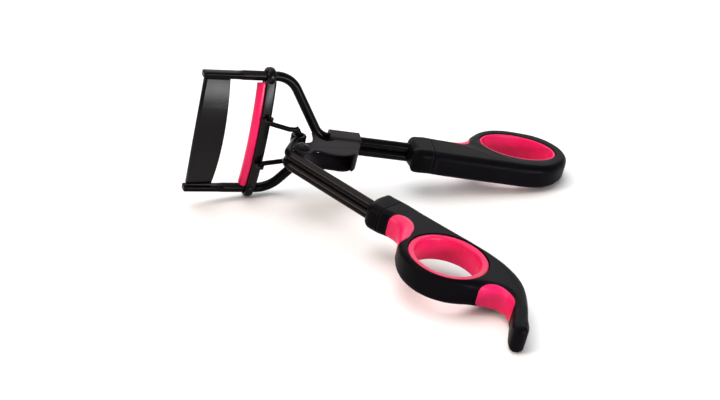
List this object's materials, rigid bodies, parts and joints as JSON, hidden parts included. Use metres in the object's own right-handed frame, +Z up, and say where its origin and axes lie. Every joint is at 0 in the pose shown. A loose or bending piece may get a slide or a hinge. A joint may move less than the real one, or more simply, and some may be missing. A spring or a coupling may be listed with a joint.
{
  "type": "eyelash curler",
  "caption": "Hand-held eyelash curler: curved lash plate on two guide rails, sliding padded jaw, wire link and two scissor handles with soft ring grips.",
  "frame": {"origin": "under the middle of the bounding box, on the table that the tool lies on with its handles open", "axes": "+Z up; +X along the guide rails from the lash plate to the fixed grip, seen from above; the moving handle opens towards -Y. The pivot axis leans about 11 degrees from +Z because the tool rests on jaw, fixed grip and moving grip."},
  "size_m": [0.1194, 0.1132, 0.0445],
  "materials": {
    "black_lacquer": "glossy black lacquer on steel",
    "soft_touch_black": "soft-touch satin black",
    "collar_black": "smooth black, semi-gloss",
    "pink_soft_grip": "hot pink soft-grip rubber, satin",
    "pink_silicone": "hot pink silicone, slightly glossy",
    "blackened_steel": "black-oxide steel",
    "black_nylon": "black nylon"
  },
  "bodies": {
    "frame": {"upper_lash_plate": "black_lacquer", "far_rail_wire": "black_lacquer", "near_rail_wire": "black_lacquer", "hinge_bracket": "black_lacquer", "pivot_rivet": "blackened_steel", "far_pivot_washer": "black_nylon", "near_pivot_washer": "black_nylon", "fixed_collar": "collar_black", "fixed_grip": "soft_touch_black", "fixed_grip_ring": "pink_soft_grip", "fixed_grip_inlay": "pink_soft_grip"},
    "moving_handle": {"far_moving_wire": "black_lacquer", "near_moving_wire": "black_lacquer", "pivot_bush": "blackened_steel", "moving_collar": "collar_black", "moving_grip": "soft_touch_black", "moving_grip_ring": "pink_soft_grip", "front_grip_inlay": "pink_soft_grip", "tail_grip_inlay": "pink_soft_grip"},
    "jaw": {"sliding_jaw": "black_lacquer", "lash_pad": "pink_silicone"},
    "link": {"link_yoke": "black_lacquer"}
  },
  "joints": [
    {"name": "handle_pivot", "type": "hinge", "parent": "frame", "child": "moving_handle", "pos_m": [-0.02849, 0.03648, 0.0185], "axis": [0.1635, -0.1103, 0.9803], "range_deg": [-6, 49]},
    {"name": "jaw_slide", "type": "slide", "parent": "frame", "child": "jaw", "axis": [-0.9864, 0, 0.1645], "range_m": [-0.00105, 0.0081]},
    {"name": "link_hinge", "type": "hinge", "parent": "jaw", "child": "link", "pos_m": [-0.03602, 0.04528, 0.02075], "axis": [0.1635, -0.1103, 0.9803], "range_deg": [-6.5, 1.5]}
  ],
  "couplings": [
    {"joint": "jaw_slide", "follows": "handle_pivot", "m_per_rad": 0.0093},
    {"joint": "link_hinge", "follows": "handle_pivot", "ratio": -0.108}
  ]
}
